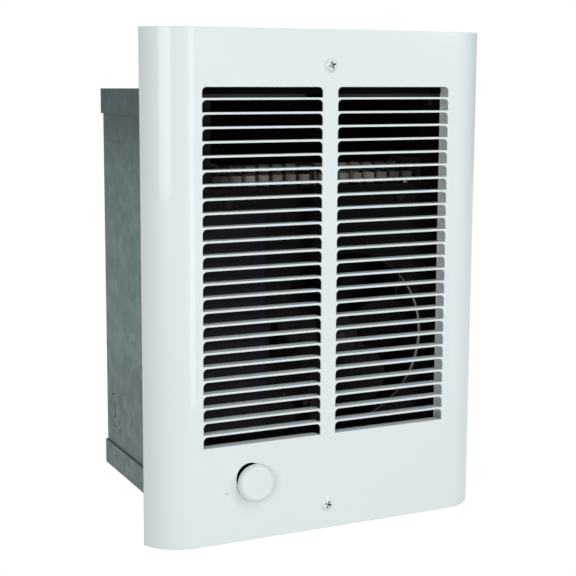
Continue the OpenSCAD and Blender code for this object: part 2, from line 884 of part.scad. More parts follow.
module motor_coil() {
    color("#8a4f2a") translate([fan_x, 0, fan_z]) difference() {
        span([-13.4, stack_y[0] - 7.5, leg_lo - 6], [13.4, stack_y[1] + 7.5, leg_hi + 6]);
        span([-14, stack_y[0] - 1.6, leg_lo - 1.6], [14, stack_y[1] + 1.6, leg_hi + 1.6]);
    }
}

module motor_screws() {
    color("#c4c6c4") for (x = [-motor_screw_x, motor_screw_x]) {
        dome_screw(fan_x + x, fan_z, strap_y, 68, 3.6, 2, motor_screw_r);
    }
}

module motor_nuts() {
    color("#c4c6c4") for (x = [-motor_screw_x, motor_screw_x]) {
        nut_y(fan_x + x, fan_z, 63, 66.2, 4, motor_screw_r);
    }
}

// The thermostat's moulded body, behind the chassis.
module thermostat_body() {
    color("#3b2f2a") difference() {
        span([knob_x - body_half, body_y[0], body_z[0]], [knob_x + body_half, body_y[1], body_z[1]]);
        bar_y(knob_x, knob_z, body_y[0] - 1, 20, shaft_bore);
        for (x = [knob_x - body_half, knob_x + body_half - 5]) {
            span([x - 0.01, body_y[0] + 4, body_z[0] - 1], [x + 5.01, body_y[1] + 1, body_z[0] + 3.5]);
        }
    }
}

module thermostat_bushing() {
    color("#b89a5a") {
        tube_y(knob_x, knob_z, -7, 0, 4.7, shaft_bore);
        tube_y(knob_x, knob_z, 0, body_y[0], 7, shaft_bore);
    }
}

module thermostat_nut() {
    color("#c4c6c4") nut_y(knob_x, knob_z, -plate_t - 2.4, -plate_t, 7.6, 4.7);
}

module thermostat_shaft() {
    color("#c6c9ca") bar_y(knob_x, knob_z, -cover_d - knob_out + 2.8, 19, 3);
}

module thermostat_terminals() {
    color("#c9b06a") for (x = [knob_x - 9.4, knob_x + 3.4]) {
        span([x, body_y[1], terminal_low], [x + 6, body_y[1] + 7, terminal_low + 0.8]);
    }
}

// Two twist-on connectors in the wiring space at the lower right.
module wire_connectors() {
    for (i = [0, 1]) {
        color(i == 0 ? "#c96a2b" : "#3f6fa8") difference() {
            translate([connector_x, connector_y, connector_z[i]]) rotate([0, 90, 0])
                cylinder(r1 = 5.2, r2 = 3.6, h = 17);
            bar_x(connector_y, connector_z[i], connector_x - 1, connector_x + 8, 3.2);
        }
    }
}

// A point on the smooth curve through a route, at t from 0 to the number of its stretches.
function route_point(r, t) =
    let (n = len(r) - 1, i = min(floor(t), n - 1), u = t - i,
        a = r[max(i - 1, 0)], b = r[i], c = r[i + 1], d = r[min(i + 2, n)])
    0.5 * (2 * b + (c - a) * u + (2 * a - 5 * b + 4 * c - d) * u * u + (3 * b - a - 3 * c + d) * u * u * u);

// A tube of one wire along a route, with this many rings.
module lead(route, rings, tint) {
    n = len(route) - 1;
    path = [for (i = [0 : rings - 1]) route_point(route, n * i / (rings - 1))];
    way = [for (i = [0 : rings - 1])
        let (v = path[min(i + 1, rings - 1)] - path[max(i - 1, 0)]) v / norm(v)];
    side = [for (v = way) let (s = cross(v, [0.9, 0.1, -0.43])) s / norm(s)];
    points = [for (i = [0 : rings - 1]) for (k = [0 : wire_sides - 1])
        let (a = 360 * k / wire_sides, up = cross(side[i], way[i]))
        path[i] + wire_r * (cos(a) * side[i] + sin(a) * up)];
    walls = [for (i = [0 : rings - 2]) for (k = [0 : wire_sides - 1])
        let (m = (k + 1) % wire_sides, a = i * wire_sides, b = a + wire_sides)
        each [[a + k, b + k, b + m], [a + k, b + m, a + m]]];
    last = (rings - 1) * wire_sides;
    ends = [
        [for (k = [0 : wire_sides - 1]) k],
        [for (k = [wire_sides - 1 : -1 : 0]) last + k]
    ];
    color(tint) polyhedron(points = points, faces = concat(walls, ends));
}

module lead_supply() {
    lead(supply_route, 12, "#1d1d1d");
}

module lead_switched() {
    lead(switched_route, 22, "#a02c24");
}

module lead_motor() {
    lead(motor_route, 8, "#1d1d1d");
}

module lead_return() {
    lead(return_route, 22, "#d9d6cc");
}

module lead_cutout() {
    lead(cutout_route, 16, "#1d1d1d");
}

front_cover();
cover_screws();
control_knob();
wall_box();
box_top_cap();
box_bottom_cap();
ground_screw();
top_seal();
chassis();
chassis_screws();
inlet_collar();
rating_label();
air_baffle();
baffle_screws();
element_carrier();
carrier_rivets();
mica_supports();
ribbon_front_lower();
ribbon_front_upper();
ribbon_rear_lower();
ribbon_rear_upper();
ribbon_jumpers();
ceramic_bushings();
element_terminal();
terminal_screw();
cutout_bracket();
thermal_cutout();
fan_impeller();
impeller_nut();
thrust_washers();
motor_shaft();
motor_rotor();
motor_bracket();
bracket_screws();
motor_isolators();
front_bearing_bracket();
rear_bearing_bracket();
shaft_bearings();
motor_stator();
shading_rings();
coil_bobbin();
motor_coil();
motor_screws();
motor_nuts();
thermostat_body();
thermostat_bushing();
thermostat_nut();
thermostat_shaft();
thermostat_terminals();
wire_connectors();
lead_supply();
lead_switched();
lead_motor();
lead_return();
lead_cutout();
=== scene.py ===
"""Finishes, light and camera for a recessed wall fan heater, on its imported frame."""
import math

import bmesh
import bpy
from mathutils import Matrix, Vector

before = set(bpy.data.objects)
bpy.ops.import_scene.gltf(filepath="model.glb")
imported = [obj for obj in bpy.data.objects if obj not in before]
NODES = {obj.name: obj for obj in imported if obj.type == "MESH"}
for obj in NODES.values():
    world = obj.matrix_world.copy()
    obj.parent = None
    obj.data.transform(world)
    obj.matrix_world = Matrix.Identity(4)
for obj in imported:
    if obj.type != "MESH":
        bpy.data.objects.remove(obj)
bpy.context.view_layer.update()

bl_info = {
    "name": "Wall fan heater",
    "version": (1, 0, 0),
    "blender": (4, 5, 0),
    "location": "View3D > Sidebar > Heater",
    "description": "Finishes a recessed wall fan heater piece by piece",
    "category": "Object",
}

PHOTO_SIDE = 576  # pixels
SENSOR = 36.0  # the camera's sensor, in millimetres
MM = 0.001

# Spans over which painted light and shade change, measured from the cover's middle and the wall's
# face.
BOX_TOP = (60 * MM, 108 * MM)  # height of the wrapper's top, darkened as painted shade
BOX_FOOT = (-36 * MM, -82 * MM)  # height of its foot, darkened as painted shade
BOX_SIDE = (106.7 * MM, 106.3 * MM)  # from the wrapper's side sheets to the space inside, which is painted dark as shade
BOX_BACK = (95.6 * MM, 95.2 * MM)  # from its back sheet to the space inside
CAP_TOP = (0.0, 60 * MM)  # all of the top cap lies past its end, so all of it takes painted shade
CAP_FOOT = (0.0, -60 * MM)  # all of the bottom cap lies past its end, so all of it takes painted shade
PAINTED_LIGHT_RAIL = (114.0 * MM, 114.2 * MM)  # the foot of the chassis's top rail, above which the black takes painted light
RETURN_SIDE = (103 * MM, 101 * MM)  # from the cover's curved sides to its turned-in edges, which are lightened as painted light
RETURN_DEPTH = (-2.4 * MM, -1.8 * MM)  # from the cover's front to the same edges
LIP_HIGH = (-14 * MM, 6 * MM)  # where the collar's lip turns to painted shade towards its top
LIP_LOW = (-56 * MM, -74 * MM)  # where it turns to painted shade towards its foot

# Where the ribbons' painted shade changes, and the factor that it reaches there.
RIBBON_SHADE = (
    ((-44 * MM, -16 * MM), 0.42),
    ((-6 * MM, 8 * MM), 0.9),
    ((34 * MM, 62 * MM), 0.12),
)

# Scales of the patterns, in features per metre.
MOTTLE, GLOSS_PATCH = 18.0, 60.0
CLOUD, GRIT = 25.0, 900.0
STREAK = 70.0
TONE_DRIFT = 45.0
STAIN = 90.0

# How many levels of finer detail a noise has.
SOFT, MEDIUM, RICH = 2.0, 3.0, 4.0

# The part of a noise's range in which most of its values lie.
MIDDLE = (0.3, 0.7)

LENGTHWAYS = 0.04  # scale of a drawn line along its own axis
RECESS = (0.62, 0.88)  # share of open space, from a recess's painted shade to the plain surface

# Each lamp's name, its place and size in metres, and the setting that holds its power.
LAMPS = (
    ("Front lamp", (0.22, -1.20, 0.02), (0.24, 0.80), "front_power"),
    ("Top lamp", (0.52, -1.25, 1.75), (0.50, 0.50), "top_power"),
    ("Left lamp", (-1.16, -0.99, 0.22), (0.70, 0.60), "left_power"),
    ("Right lamp", (1.02, -1.08, 0.42), (0.50, 0.45), "right_power"),
)

FLOOR_DROP = 0.95  # how far the floor lies below the cover's middle
FLOOR_HALF = 12.0  # half of its side
FLOOR_FADE = (1.0, 1.6)  # distance over which it turns white


# ---------------------------------------------------------------- node groups

def wire(tree, source, target):
    """Joins an output socket to an input socket."""
    tree.links.new(source, target)


def feed(tree, value, socket):
    """Joins another node's socket to an input socket, or sets the input to a plain value."""
    if isinstance(value, bpy.types.NodeSocket):
        wire(tree, value, socket)
    else:
        socket.default_value = value


def mix_colors(tree, factor, first, second, blend="MIX"):
    """A blend of two colours; each is a tone with its alpha or a socket."""
    node = tree.nodes.new("ShaderNodeMix")
    node.data_type = "RGBA"
    node.blend_type = blend
    wire(tree, factor, node.inputs["Factor"])
    feed(tree, first, node.inputs["A"])
    feed(tree, second, node.inputs["B"])
    return node.outputs["Result"]


def start_group(name, inputs, outputs):
    """A new shader node group with these sockets, and its two end nodes."""
    tree = bpy.data.node_groups.new(name, "ShaderNodeTree")
    for label, kind, value in inputs:
        socket = tree.interface.new_socket(
            name=label, in_out="INPUT", socket_type="NodeSocket" + kind
        )
        socket.default_value = value
    for label, kind in outputs:
        tree.interface.new_socket(name=label, in_out="OUTPUT", socket_type="NodeSocket" + kind)
    return tree, tree.nodes.new("NodeGroupInput"), tree.nodes.new("NodeGroupOutput")


def start_surface(name, tones, scale, rough):
    """A group for a surface: two tones, a pattern scale and two roughness ends go in.

    tones and scale hold each socket's label and its default, rough the defaults of the ends.
    Colour, roughness and height come out.
    """
    inputs = [(label, "Color", (grey, grey, grey, 1)) for label, grey in tones]
    inputs.append((scale[0], "Float", scale[1]))
    inputs += [("Low Roughness", "Float", rough[0]), ("High Roughness", "Float", rough[1])]
    return start_group(
        name, inputs, [("Color", "Color"), ("Roughness", "Float"), ("Height", "Float")]
    )


def noise_node(tree, vector, scale, detail=RICH):
    """A noise texture; scale is a number or a socket."""
    node = tree.nodes.new("ShaderNodeTexNoise")
    node.inputs["Detail"].default_value = detail
    node.inputs["Roughness"].default_value = 0.55
    wire(tree, vector, node.inputs["Vector"])
    feed(tree, scale, node.inputs["Scale"])
    return node.outputs["Fac"]


def remap(tree, value, low, high, to_low=0.0, to_high=1.0):
    """Spreads a value from one span to another; the new ends are numbers or sockets."""
    node = tree.nodes.new("ShaderNodeMapRange")
    node.inputs["From Min"].default_value = low
    node.inputs["From Max"].default_value = high
    wire(tree, value, node.inputs["Value"])
    feed(tree, to_low, node.inputs["To Min"])
    feed(tree, to_high, node.inputs["To Max"])
    return node.outputs["Result"]


def maths(tree, operation, first, second):
    """A Math node; each operand is a number or a socket."""
    node = tree.nodes.new("ShaderNodeMath")
    node.operation = operation
    feed(tree, first, node.inputs[0])
    feed(tree, second, node.inputs[1])
    return node.outputs["Value"]


def weighed_sum(tree, first, weight, second, other):
    """Two values added, each with its own weight."""
    return maths(
        tree, "ADD", maths(tree, "MULTIPLY", first, weight), maths(tree, "MULTIPLY", second, other)
    )


def object_vector(tree, stretch=(1.0, 1.0, 1.0)):
    """Object coordinates, stretched along the axes."""
    coordinates = tree.nodes.new("ShaderNodeTexCoord")
    mapping = tree.nodes.new("ShaderNodeMapping")
    mapping.inputs["Scale"].default_value = stretch
    wire(tree, coordinates.outputs["Object"], mapping.inputs["Vector"])
    return mapping.outputs["Vector"]


def put_color(tree, start, end, factor, first, second):
    """The group's colour: a mix of two of its tones."""
    color = mix_colors(tree, factor, start.outputs[first], start.outputs[second])
    wire(tree, color, end.inputs["Color"])


def put_roughness(tree, start, end, value, span=MIDDLE):
    """The group's roughness: a value spread over its two roughness ends."""
    ends = (start.outputs["Low Roughness"], start.outputs["High Roughness"])
    wire(tree, remap(tree, value, *span, *ends), end.inputs["Roughness"])


def film_group():
    """Sprayed paint or enamel: a faint mottle, a slight orange peel and uneven gloss."""
    tree, start, end = start_surface(
        "Sprayed film", [("Color", 0.8), ("Mottle", 0.7)], ("Peel Scale", 450.0), (0.3, 0.4)
    )
    vector = object_vector(tree)
    mottle = remap(tree, noise_node(tree, vector, MOTTLE), 0.35, 0.75)
    put_color(tree, start, end, mottle, "Color", "Mottle")
    put_roughness(tree, start, end, noise_node(tree, vector, GLOSS_PATCH, MEDIUM))
    peel = noise_node(tree, vector, start.outputs["Peel Scale"], SOFT)
    wire(tree, peel, end.inputs["Height"])
    return tree


def spangle_group():
    """Hot-dipped zinc: crystal patches of different shade and gloss with soft borders."""
    tree, start, end = start_surface(
        "Zinc spangle", [("Light", 0.4), ("Dark", 0.3)], ("Spangle Scale", 160.0), (0.35, 0.5)
    )
    vector = object_vector(tree)
    cells = tree.nodes.new("ShaderNodeTexVoronoi")
    wire(tree, vector, cells.inputs["Vector"])
    wire(tree, start.outputs["Spangle Scale"], cells.inputs["Scale"])
    crystal = tree.nodes.new("ShaderNodeSeparateColor")
    wire(tree, cells.outputs["Color"], crystal.inputs["Color"])
    cloud = noise_node(tree, vector, CLOUD)
    shade = weighed_sum(tree, crystal.outputs["Red"], 0.55, cloud, 0.6)
    put_color(tree, start, end, shade, "Dark", "Light")
    put_roughness(tree, start, end, crystal.outputs["Green"], (0.0, 1.0))
    grit = noise_node(tree, vector, GRIT, SOFT)
    step = maths(tree, "MULTIPLY", crystal.outputs["Blue"], 0.3)
    wire(tree, maths(tree, "ADD", step, grit), end.inputs["Height"])
    return tree


def drawn_group(name, stretch):
    """Rolled or ground metal: fine lines along one axis with a few darker streaks."""
    tree, start, end = start_surface(
        name, [("Light", 0.6), ("Dark", 0.4)], ("Line Scale", 900.0), (0.25, 0.4)
    )
    lines = noise_node(tree, object_vector(tree, stretch), start.outputs["Line Scale"], MEDIUM)
    streaks = noise_node(tree, object_vector(tree), STREAK)
    shade = weighed_sum(tree, lines, 0.5, streaks, 0.5)
    put_color(tree, start, end, remap(tree, shade, 0.35, 0.65), "Dark", "Light")
    put_roughness(tree, start, end, lines)
    wire(tree, lines, end.inputs["Height"])
    return tree


def mould_group():
    """Moulded or pressed stock: a fine grain with a slow drift of tone."""
    tree, start, end = start_surface(
        "Moulded grain", [("Color", 0.8), ("Drift", 0.7)], ("Grain Scale", 1500.0), (0.3, 0.5)
    )
    vector = object_vector(tree)
    drift = remap(tree, noise_node(tree, vector, TONE_DRIFT), 0.35, 0.7)
    put_color(tree, start, end, drift, "Color", "Drift")
    grain = noise_node(tree, vector, start.outputs["Grain Scale"], SOFT)
    put_roughness(tree, start, end, grain)
    wire(tree, grain, end.inputs["Height"])
    return tree


def layers_group():
    """Stacked sheets or wound turns: thin bands along Y with dark gaps."""
    tree, start, end = start_surface(
        "Stacked layers", [("Light", 0.5), ("Dark", 0.2)], ("Band Scale", 160.0), (0.35, 0.55)
    )
    vector = object_vector(tree)
    bands = tree.nodes.new("ShaderNodeTexWave")
    bands.wave_type = "BANDS"
    bands.bands_direction = "Y"
    bands.inputs["Distortion"].default_value = 0.3
    wire(tree, vector, bands.inputs["Vector"])
    wire(tree, start.outputs["Band Scale"], bands.inputs["Scale"])
    stains = noise_node(tree, vector, STAIN)
    dirt = remap(tree, stains, *MIDDLE, 0.7, 1.0)
    shade = maths(tree, "MULTIPLY", bands.outputs["Fac"], dirt)
    put_color(tree, start, end, shade, "Dark", "Light")
    put_roughness(tree, start, end, stains)
    wire(tree, bands.outputs["Fac"], end.inputs["Height"])
    return tree


def span_group():
    """How far a point lies between two places along each axis, from 0 to 1.

    Across X is measured from the middle to both sides.
    """
    tree, start, end = start_group(
        "Span",
        [("From", "Float", 0.0), ("To", "Float", 0.01)],
        [(label, "Float") for label in ("Along X", "Along Y", "Along Z", "Across X")],
    )
    split = tree.nodes.new("ShaderNodeSeparateXYZ")
    wire(tree, object_vector(tree), split.inputs["Vector"])
    from_middle = tree.nodes.new("ShaderNodeMath")
    from_middle.operation = "ABSOLUTE"
    wire(tree, split.outputs["X"], from_middle.inputs[0])
    measures = {"Along " + axis: split.outputs[axis] for axis in "XYZ"}
    measures["Across X"] = from_middle.outputs["Value"]
    for label, value in measures.items():
        node = tree.nodes.new("ShaderNodeMapRange")
        node.interpolation_type = "SMOOTHSTEP"
        wire(tree, value, node.inputs["Value"])
        wire(tree, start.outputs["From"], node.inputs["From Min"])
        wire(tree, start.outputs["To"], node.inputs["From Max"])
        wire(tree, node.outputs["Result"], end.inputs[label])
    return tree


GROUP_MAKERS = {
    "film": film_group,
    "spangle": spangle_group,
    "drawn_x": lambda: drawn_group("Drawn along X", (LENGTHWAYS, 1.0, 1.0)),
    "drawn_y": lambda: drawn_group("Drawn along Y", (1.0, LENGTHWAYS, 1.0)),
    "drawn_z": lambda: drawn_group("Drawn along Z", (1.0, 1.0, LENGTHWAYS)),
    "mould": mould_group,
    "layers": layers_group,
    "span": span_group,
}
GROUPS = {}


def group_named(kind):
    """The shared node group of this kind, built when it is first asked for."""
    if kind not in GROUPS:
        GROUPS[kind] = GROUP_MAKERS[kind]()
    return GROUPS[kind]


# ---------------------------------------------------------------- materials

def finish_material(
    name, kind, light, dark, scale, rough,
    bump=0.1, depth=0.1, metal=0.0, coat=0.0, coat_rough=0.1, level=0.5, fold=0.0,
):
    """A Principled material fed by one of the shared groups.

    light and dark are the two tones, scale is the group's pattern scale, rough its two
    roughness ends, bump and depth the relief's strength and its height in millimetres, level
    the specular level, and fold the radius in metres to which the shading rounds the edges.
    """
    mat = bpy.data.materials.new(name)
    mat.use_nodes = True
    tree = mat.node_tree
    shader = tree.nodes["Principled BSDF"]
    shader.inputs["Metallic"].default_value = metal
    shader.inputs["Coat Weight"].default_value = coat
    shader.inputs["Coat Roughness"].default_value = coat_rough
    shader.inputs["Specular IOR Level"].default_value = level
    group = tree.nodes.new("ShaderNodeGroup")
    group.node_tree = group_named(kind)
    tones = [s for s in group.inputs if s.type == "RGBA"]
    numbers = [s for s in group.inputs if s.type == "VALUE"]
    for socket, color in zip(tones, (light, dark)):
        socket.default_value = (*color, 1.0)
    for socket, value in zip(numbers, (scale, *rough)):
        socket.default_value = value
    relief = tree.nodes.new("ShaderNodeBump")
    relief.inputs["Strength"].default_value = bump
    relief.inputs["Distance"].default_value = depth * MM
    wire(tree, group.outputs["Color"], shader.inputs["Base Color"])
    wire(tree, group.outputs["Roughness"], shader.inputs["Roughness"])
    wire(tree, group.outputs["Height"], relief.inputs["Height"])
    wire(tree, relief.outputs["Normal"], shader.inputs["Normal"])
    if fold:
        edge = tree.nodes.new("ShaderNodeBevel")
        edge.samples = 6
        edge.inputs["Radius"].default_value = fold
        wire(tree, edge.outputs["Normal"], relief.inputs["Normal"])
    return mat


def span_factor(tree, way, begin, full):
    """A factor from 0 to 1 between two places; way is one of the span group's outputs."""
    group = tree.nodes.new("ShaderNodeGroup")
    group.node_tree = group_named("span")
    group.inputs["From"].default_value = begin
    group.inputs["To"].default_value = full
    return group.outputs[way]


def paint_light_shade(mat, spans, tone, blend="MIX"):
    """Paints light and shade into a material's colour: blends it to another tone where all the
    spans do.

    spans holds pairs of one of the span group's outputs and the two places.
    """
    tree = mat.node_tree
    factor = None
    for way, places in spans:
        share = span_factor(tree, way, *places)
        factor = share if factor is None else maths(tree, "MULTIPLY", factor, share)
    target = tree.nodes["Principled BSDF"].inputs["Base Color"]
    plain = target.links[0].from_socket
    wire(tree, mix_colors(tree, factor, plain, (*tone, 1.0), blend), target)


def paint_recess_shade(mat, reach, tone):
    """Paints shade into a material deep in a recess; reach is how far the light is looked for."""
    tree = mat.node_tree
    shelter = tree.nodes.new("ShaderNodeAmbientOcclusion")
    shelter.only_local = True
    shelter.samples = 8
    shelter.inputs["Distance"].default_value = reach
    target = tree.nodes["Principled BSDF"].inputs["Base Color"]
    openness = remap(tree, shelter.outputs["AO"], *RECESS)
    plain = target.links[0].from_socket
    wire(tree, mix_colors(tree, openness, (*tone, 1.0), plain), target)


def shade_of(color, factor):
    """The same colour, darker or lighter."""
    return tuple(min(1.0, c * factor) for c in color)


def dress(nodes, mat):
    """Puts a material on a node of the frame, or on several."""
    for name in (nodes,) if isinstance(nodes, str) else nodes:
        for place in NODES[name].material_slots:
            place.material = mat


# ---------------------------------------------------------------- settings

class HeaterFinish(bpy.types.PropertyGroup):
    """Colours and relief of the heater's finishes."""

    enamel: bpy.props.FloatVectorProperty(
        name="Enamel", description="Colour of the white cover", subtype="COLOR", size=3,
        min=0, max=1, default=(0.735, 0.812, 0.828),
    )
    knob: bpy.props.FloatVectorProperty(
        name="Knob", description="Colour of the moulded knob", subtype="COLOR", size=3,
        min=0, max=1, default=(0.745, 0.815, 0.828),
    )
    zinc_sheet: bpy.props.FloatVectorProperty(
        name="Zinc sheet", description="Colour of the galvanised wall box", subtype="COLOR", size=3,
        min=0, max=1, default=(0.157, 0.251, 0.250),
    )
    black_paint: bpy.props.FloatVectorProperty(
        name="Black paint", description="Colour of the chassis", subtype="COLOR", size=3,
        min=0, max=1, default=(0.0022, 0.0026, 0.0029),
    )
    ribbon: bpy.props.FloatVectorProperty(
        name="Ribbon", description="Colour of the heating ribbons", subtype="COLOR", size=3,
        min=0, max=1, default=(0.132, 0.130, 0.116),
    )
    fold_radius: bpy.props.FloatProperty(
        name="Fold radius", description="Rounding of the folded sheet's edges", subtype="DISTANCE",
        default=0.6 * MM, min=0.1 * MM, max=1.0 * MM,
    )


class HeaterStage(bpy.types.PropertyGroup):
    """Camera and lamps."""

    camera_place: bpy.props.FloatVectorProperty(
        name="Camera", description="Where the camera stands", subtype="TRANSLATION", size=3,
        default=(-0.3660, -0.7159, 0.1260),
    )
    camera_aim: bpy.props.FloatVectorProperty(
        name="Aim", description="Direction the camera looks", subtype="XYZ", size=3,
        default=(0.4226, 0.8953, -0.1411),
    )
    camera_roll: bpy.props.FloatProperty(
        name="Roll", description="Turn of the camera about its own axis", subtype="ANGLE",
        default=math.radians(0.19),
    )
    focal_pixels: bpy.props.FloatProperty(
        name="Focal length", description="Focal length in pixels of the image",
        default=1290.31, min=100,
    )
    axis_x: bpy.props.FloatProperty(
        name="Axis across", description="Pixels from the image's left to the lens axis",
        default=275.38,
    )
    axis_y: bpy.props.FloatProperty(
        name="Axis down", description="Pixels from the image's top to the lens axis",
        default=262.81,
    )
    front_power: bpy.props.FloatProperty(
        name="Front lamp", description="Power of the lamp in front", subtype="POWER",
        default=3.0, min=0,
    )
    top_power: bpy.props.FloatProperty(
        name="Top lamp", description="Power of the lamp above", subtype="POWER",
        default=7.8, min=0,
    )
    left_power: bpy.props.FloatProperty(
        name="Left lamp", description="Power of the lamp at the left", subtype="POWER",
        default=7.3, min=0,
    )
    right_power: bpy.props.FloatProperty(
        name="Right lamp", description="Power of the lamp at the right", subtype="POWER",
        default=4.2, min=0,
    )
    room_light: bpy.props.FloatProperty(
        name="Room light", description="Strength of the even light from all round",
        default=0.39, min=0,
    )


# ---------------------------------------------------------------- operators

class HEATER_OT_cover(bpy.types.Operator):
    """Finish the cover, its screws and the knob"""

    bl_idname = "heater.cover"
    bl_label = "Cover"

    def execute(self, context):
        tone = context.scene.heater_finish
        enamel = finish_material(
            "Cover enamel", "film", tone.enamel, shade_of(tone.enamel, 0.985), 420.0, (0.38, 0.46),
            bump=0.05, depth=0.05, coat=0.35, coat_rough=0.07, fold=tone.fold_radius,
        )
        # painted light: the cover's turned-in edges are made lighter than the rest of the enamel
        painted_light_edges = [("Across X", RETURN_SIDE), ("Along Y", RETURN_DEPTH)]
        paint_light_shade(enamel, painted_light_edges, (0.97, 0.985, 0.985))
        dress("front_cover", enamel)
        white = finish_material(
            "Cover screw white", "film", (0.76, 0.81, 0.83), (0.70, 0.75, 0.77),
            900.0, (0.30, 0.40), bump=0.06, depth=0.03, coat=0.2,
        )
        # painted shade: the screws' cross recesses are darkened
        paint_recess_shade(white, 1.1 * MM, (0.02, 0.022, 0.024))
        dress("cover_screws", white)
        dress("control_knob", finish_material(
            "Knob moulding", "mould", tone.knob, shade_of(tone.knob, 0.97), 1400.0, (0.28, 0.36),
            bump=0.04, depth=0.03, coat=0.2, coat_rough=0.15,
        ))
        return {"FINISHED"}


class HEATER_OT_wall_box(bpy.types.Operator):
    """Finish the wall box, its caps and the screw in it"""

    bl_idname = "heater.wall_box"
    bl_label = "Wall box"

    def execute(self, context):
        zinc = context.scene.heater_finish.zinc_sheet
        wrapper = finish_material(
            "Wrapper zinc", "spangle", zinc, shade_of(zinc, 0.80), 170.0, (0.42, 0.55),
            bump=0.06, depth=0.05, metal=0.35,
        )
        # painted shade: the wrapper is darkened towards its top and its foot
        paint_light_shade(wrapper, [("Along Z", BOX_TOP)], (0.57, 0.56, 0.56), "MULTIPLY")
        paint_light_shade(wrapper, [("Along Z", BOX_FOOT)], (0.73, 0.78, 0.78), "MULTIPLY")
        # painted shade: the inside of the wrapper is darkened to near black
        painted_shade_inside = [("Across X", BOX_SIDE), ("Along Y", BOX_BACK)]
        paint_light_shade(wrapper, painted_shade_inside, shade_of(zinc, 0.2))
        dress("wall_box", wrapper)
        caps = finish_material(
            "Cap zinc", "spangle", shade_of(zinc, 1.05), shade_of(zinc, 0.84), 150.0, (0.40, 0.55),
            bump=0.06, depth=0.05, metal=0.35,
        )
        # painted shade: both caps are darkened, the top one more
        paint_light_shade(caps, [("Along Z", CAP_TOP)], (0.57, 0.56, 0.56), "MULTIPLY")
        paint_light_shade(caps, [("Along Z", CAP_FOOT)], (0.66, 0.69, 0.69), "MULTIPLY")
        dress(("box_top_cap", "box_bottom_cap"), caps)
        dress("ground_screw", finish_material(
            "Ground green", "film", (0.03, 0.20, 0.06), (0.02, 0.14, 0.04), 900.0, (0.3, 0.42),
            bump=0.1, depth=0.03, coat=0.3,
        ))
        return {"FINISHED"}


class HEATER_OT_chassis(bpy.types.Operator):
    """Finish the chassis, its label's bare place, its fasteners and the air baffle"""

    bl_idname = "heater.chassis"
    bl_label = "Chassis"

    def execute(self, context):
        black = context.scene.heater_finish.black_paint
        paint = finish_material(
            "Chassis black", "film", black, shade_of(black, 1.5), 700.0, (0.20, 0.27),
            bump=0.05, depth=0.05, level=0.05,
        )
        # painted light: the chassis's black is lightened above the foot of its top rail
        paint_light_shade(paint, [("Along Z", PAINTED_LIGHT_RAIL)], (0.040, 0.044, 0.046))
        dress("chassis", paint)
        dress("top_seal", finish_material(
            "Seal foam", "mould", shade_of(black, 0.7), shade_of(black, 1.1), 1500.0, (0.85, 0.95),
            bump=0.4, depth=0.1, level=0.1,
        ))
        # The collar's pale tone is partly its bare zinc and partly painted light
        pale_zinc_and_light = finish_material(
            "Collar zinc", "spangle", (0.72, 0.76, 0.76), (0.60, 0.65, 0.65), 170.0, (0.28, 0.40),
            bump=0.06, depth=0.05, metal=0.3,
        )
        # painted shade at the lip's top and foot, leaving a lit arc
        for places in (LIP_HIGH, LIP_LOW):
            paint_light_shade(pale_zinc_and_light, [("Along Z", places)], (0.16, 0.17, 0.17))
        dress("inlet_collar", pale_zinc_and_light)
        # Near black: partly a black oxide finish, partly painted shade for the bracket screws and
        # impeller nut in the dark inside
        oxide_and_shade = finish_material(
            "Black oxide", "drawn_y", (0.005, 0.005, 0.006), (0.003, 0.003, 0.004),
            1500.0, (0.35, 0.5), bump=0.1, depth=0.03, level=0.10,
        )
        dress(("chassis_screws", "bracket_screws", "carrier_rivets", "impeller_nut"), oxide_and_shade)
        dress("rating_label", finish_material(
            "Bare label film", "mould", (0.0040, 0.0075, 0.0125), (0.0025, 0.0050, 0.0090),
            1800.0, (0.22, 0.30), bump=0.05, depth=0.02, level=0.06,
        ))
        # The baffle's black is partly its own paint and partly a dark sheet standing in for shade
        # inside the box
        dress("air_baffle", finish_material(
            "Baffle black", "film", shade_of(black, 0.6), shade_of(black, 0.9), 500.0, (0.8, 0.95),
            bump=0.1, depth=0.05, level=0.08,
        ))
        return {"FINISHED"}


class HEATER_OT_element(bpy.types.Operator):
    """Finish the heating ribbons and what carries them"""

    bl_idname = "heater.element"
    bl_label = "Element"

    def execute(self, context):
        alloy = context.scene.heater_finish.ribbon
        ribbon = finish_material(
            "Heating ribbon", "drawn_x", alloy, shade_of(alloy, 0.6), 1100.0, (0.3, 0.45),
            bump=0.12, depth=0.04, metal=0.75,
        )
        # painted shade: the ribbons darken along X, darkest at their right end
        for places, factor in RIBBON_SHADE:
            paint_light_shade(ribbon, [("Along X", places)], shade_of(alloy, factor))
        dress(
            [f"ribbon_{row}_{tier}" for row in ("front", "rear") for tier in ("lower", "upper")],
            ribbon,
        )
        sheet = finish_material(
            "Carrier sheet", "spangle", (0.050, 0.055, 0.055), (0.035, 0.039, 0.039),
            190.0, (0.4, 0.55), bump=0.08, depth=0.05, metal=0.5,
        )
        dress(("element_carrier", "cutout_bracket", "element_terminal"), sheet)
        dress("mica_supports", finish_material(
            "Mica board", "drawn_y", (0.030, 0.027, 0.022), (0.018, 0.016, 0.013),
            420.0, (0.3, 0.6), bump=0.3, depth=0.08,
        ))
        dress("ceramic_bushings", finish_material(
            "Steatite", "mould", (0.66, 0.62, 0.53), (0.55, 0.51, 0.43), 1300.0, (0.5, 0.65),
            bump=0.15, depth=0.04,
        ))
        plate = finish_material(
            "Zinc plate", "drawn_z", (0.60, 0.61, 0.60), (0.45, 0.46, 0.46), 1500.0, (0.24, 0.36),
            bump=0.1, depth=0.03, metal=0.9,
        )
        dress(
            ("ribbon_jumpers", "terminal_screw", "motor_screws", "motor_nuts", "baffle_screws"),
            plate,
        )
        dress("thermal_cutout", finish_material(
            "Cut-out shell", "mould", (0.035, 0.03, 0.027), (0.05, 0.044, 0.04),
            900.0, (0.35, 0.5), bump=0.1, depth=0.04,
        ))
        return {"FINISHED"}


